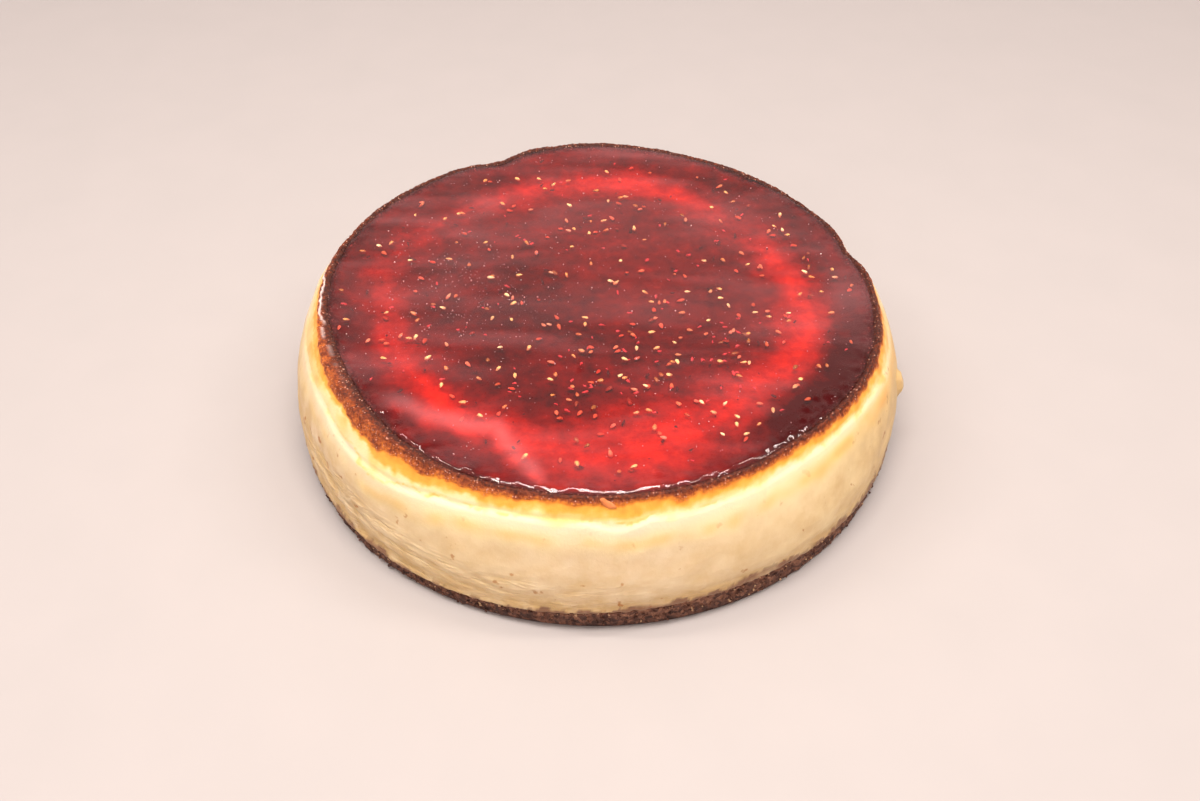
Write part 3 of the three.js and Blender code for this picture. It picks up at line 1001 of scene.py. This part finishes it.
def area_light(name, place, target, size, power, colour):
    """A rectangular soft light at a place, in metres, facing a target."""
    data = bpy.data.lights.new(name, "AREA")
    data.shape = "RECTANGLE"
    data.size, data.size_y = size
    data.energy = power
    data.color = to_linear(colour)[:3]
    lamp = bpy.data.objects.new(name, data)
    lamp.location = place
    lamp.rotation_euler = (Vector(target) - Vector(place)).to_track_quat("-Z", "Y").to_euler()
    bpy.context.scene.collection.objects.link(lamp)
    return lamp


def make_world(stage):
    """A pale room: its brightness follows the height that a ray looks to."""
    world = bpy.data.worlds.new("pale_room")
    world.use_nodes = True
    tree = world.node_tree
    tree.nodes.clear()
    way = node(tree, "TexCoord").outputs["Generated"]
    up = node(tree, "SeparateXYZ", {"Vector": way}).outputs["Z"]
    share = node(tree, "MapRange", [up, -1.0, 1.0, 0.0, 1.0])
    ramp = node(tree, "ValToRGB", [share], ROOM)
    glow = node(tree, "Background", {"Color": ramp, "Strength": stage.room_light})
    node(tree, "OutputWorld", {"Surface": glow})
    bpy.context.scene.world = world


def make_stage(stage):
    """Floor, room, lights and camera."""
    material, tree = new_material("pale_matt_card")
    place = node(tree, "TexCoord").outputs["Object"]
    # Faint mottle of the card, about 33 mm
    mottle = node(tree, "TexNoise", {"Vector": place, "Scale": 30, "Detail": 3})
    shades = {0: mottle, 6: to_linear("#BDB4B1"), 7: to_linear("#B8B0AD")}
    colour = node(tree, "Mix", shades, data_type="RGBA").outputs[2]
    shader = node(tree, "BsdfPrincipled", {"Base Color": colour, "Roughness": 0.7})
    node(tree, "OutputMaterial", {"Surface": shader})
    corners = FLOOR_HALF * np.array([[-1, -1, 0], [1, -1, 0], [1, 1, 0], [-1, 1, 0]], dtype=float)
    floor = mesh_object("floor", corners, [np.array([[0, 1, 2, 3]])])
    floor.data.materials.append(material)
    make_world(stage)
    top = (0, 0, HEIGHT * MM)
    area_light("overhead_strip", OVERHEAD[0], top, OVERHEAD[1], stage.overhead_power, WARM_WHITE)
    for side in (-1, 1):
        place = (0.7 * side, 0.04, 1.12)
        area_light(f"side_strip_{side}", place, top, SIDE_SIZE, stage.side_power, WARM_WHITE)
    area_light("front_fill", FRONT[0], top, FRONT[1], stage.fill_power, "#FFF6EE")
    camera_data = bpy.data.cameras.new("camera")
    camera_data.sensor_width = 36
    camera_data.lens = CAMERA_LENS
    camera_data.clip_start = 0.01
    camera = bpy.data.objects.new("camera", camera_data)
    camera.location = CAMERA_PLACE
    camera.rotation_euler = (math.radians(90 - CAMERA_PITCH), 0, 0)
    bpy.context.scene.collection.objects.link(camera)
    bpy.context.scene.camera = camera
    bpy.context.scene.view_settings.view_transform = "Standard"


# ---------------------------------------------------------------- add-on


class CheesecakeShape(bpy.types.PropertyGroup):
    """Depths and counts of the cake's fine detail."""

    fold_depth: FloatProperty(
        name="Fold depth", description="Depth of the folds on the wall", default=0.0013, unit="LENGTH"
    )
    crust_depth: FloatProperty(
        name="Crust depth", description="Depth of the cracks in the crust", default=0.0006, unit="LENGTH"
    )
    crumb_depth: FloatProperty(
        name="Crumb depth", description="How rough the base's side is", default=0.001, unit="LENGTH"
    )
    seed_length: FloatProperty(
        name="Seed length", description="Length of a strawberry seed", default=0.0028, unit="LENGTH"
    )
    crumbs: IntProperty(name="Crumbs", description="Loose crumbs on the base", default=2200)
    seeds: IntProperty(name="Seeds", description="Strawberry seeds in the jelly", default=300)
    pulp: IntProperty(name="Pulp", description="Shreds of pulp in the jelly", default=110)
    specks: IntProperty(name="Specks", description="Dark flecks in the jelly", default=110)
    bubbles: IntProperty(name="Bubbles", description="Bubbles in the jelly", default=1100)


class CheesecakeColours(bpy.types.PropertyGroup):
    """Colours that a user would change."""

    # Colour laid on the lower wall: partly its tan, partly painted shade
    tan: FloatVectorProperty(
        name="Tan", description="Colour of the lower wall", subtype="COLOR", default=to_linear("#DAB67E")[:3]
    )
    jelly: FloatVectorProperty(
        name="Jelly",
        description="Colour that the jelly lets through",
        subtype="COLOR",
        default=(0.975, 0.0, 0.1),
    )
    # Colour of the pale swirls: partly real cloudiness, partly painted reflection
    hazy_sheen: FloatVectorProperty(
        name="Haze",
        description="Colour of the jelly's swirls",
        subtype="COLOR",
        default=to_linear("#D9878A")[:3],
    )


class CheesecakeStage(bpy.types.PropertyGroup):
    """Light on the cake."""

    room_light: FloatProperty(name="Room light", description="Strength of the room's light", default=1.03)
    overhead_power: FloatProperty(
        name="Overhead", description="Power of the strip light overhead", default=11.0, unit="POWER"
    )
    side_power: FloatProperty(
        name="Sides", description="Power of each strip light at a side", default=4.6, unit="POWER"
    )
    fill_power: FloatProperty(
        name="Fill", description="Power of the light in front", default=3.8, unit="POWER"
    )


class CHEESECAKE_OT_stage(bpy.types.Operator):
    """Adds the floor, the room, the lights and the camera"""

    bl_idname = "cheesecake.stage"
    bl_label = "Stage"

    def execute(self, context):
        make_stage(context.scene.cheesecake_stage)
        return {"FINISHED"}


class CHEESECAKE_OT_base(bpy.types.Operator):
    """Adds the biscuit base and its crumbs"""

    bl_idname = "cheesecake.base"
    bl_label = "Biscuit base"

    def execute(self, context):
        make_base(context.scene.cheesecake_shape)
        make_crumbs(context.scene.cheesecake_shape)
        return {"FINISHED"}


class CHEESECAKE_OT_filling(bpy.types.Operator):
    """Adds the cheese filling with its browned rim"""

    bl_idname = "cheesecake.filling"
    bl_label = "Cheese filling"

    def execute(self, context):
        make_filling(context.scene.cheesecake_shape, context.scene.cheesecake_colours)
        make_flake()
        return {"FINISHED"}


class CHEESECAKE_OT_jelly(bpy.types.Operator):
    """Adds the strawberry jelly"""

    bl_idname = "cheesecake.jelly"
    bl_label = "Strawberry jelly"

    def execute(self, context):
        make_jelly(context.scene.cheesecake_colours)
        return {"FINISHED"}


class CHEESECAKE_OT_bits(bpy.types.Operator):
    """Adds the seeds, flecks and bubbles in the jelly"""

    bl_idname = "cheesecake.bits"
    bl_label = "Seeds, flecks and bubbles"

    def execute(self, context):
        shape = context.scene.cheesecake_shape
        make_seeds(shape)
        make_pulp(shape)
        make_specks(shape)
        make_bubbles(shape)
        return {"FINISHED"}


class CHEESECAKE_PT_panel(bpy.types.Panel):
    """Lists the cake's pieces and settings"""

    bl_idname = "CHEESECAKE_PT_panel"
    bl_label = "Baked Cheesecake"
    bl_space_type = "VIEW_3D"
    bl_region_type = "UI"
    bl_category = "Cheesecake"

    def draw(self, context):
        for name in GROUPS:
            group = getattr(context.scene, name)
            for key in group.__annotations__:
                self.layout.prop(group, key)
        for operator in OPERATORS:
            self.layout.operator(operator.bl_idname)


GROUPS = {
    "cheesecake_shape": CheesecakeShape,
    "cheesecake_colours": CheesecakeColours,
    "cheesecake_stage": CheesecakeStage,
}
OPERATORS = [
    CHEESECAKE_OT_stage,
    CHEESECAKE_OT_base,
    CHEESECAKE_OT_filling,
    CHEESECAKE_OT_jelly,
    CHEESECAKE_OT_bits,
]


def register():
    for made in (*GROUPS.values(), *OPERATORS, CHEESECAKE_PT_panel):
        bpy.utils.register_class(made)
    for key, group in GROUPS.items():
        setattr(bpy.types.Scene, key, PointerProperty(type=group))


def unregister():
    for key in GROUPS:
        delattr(bpy.types.Scene, key)
    for made in (CHEESECAKE_PT_panel, *reversed(OPERATORS), *GROUPS.values()):
        bpy.utils.unregister_class(made)


def main():
    """Builds everything in order."""
    register()
    bpy.ops.cheesecake.stage()
    bpy.ops.cheesecake.base()
    bpy.ops.cheesecake.filling()
    bpy.ops.cheesecake.jelly()
    bpy.ops.cheesecake.bits()


if __name__ == "__main__":
    main()
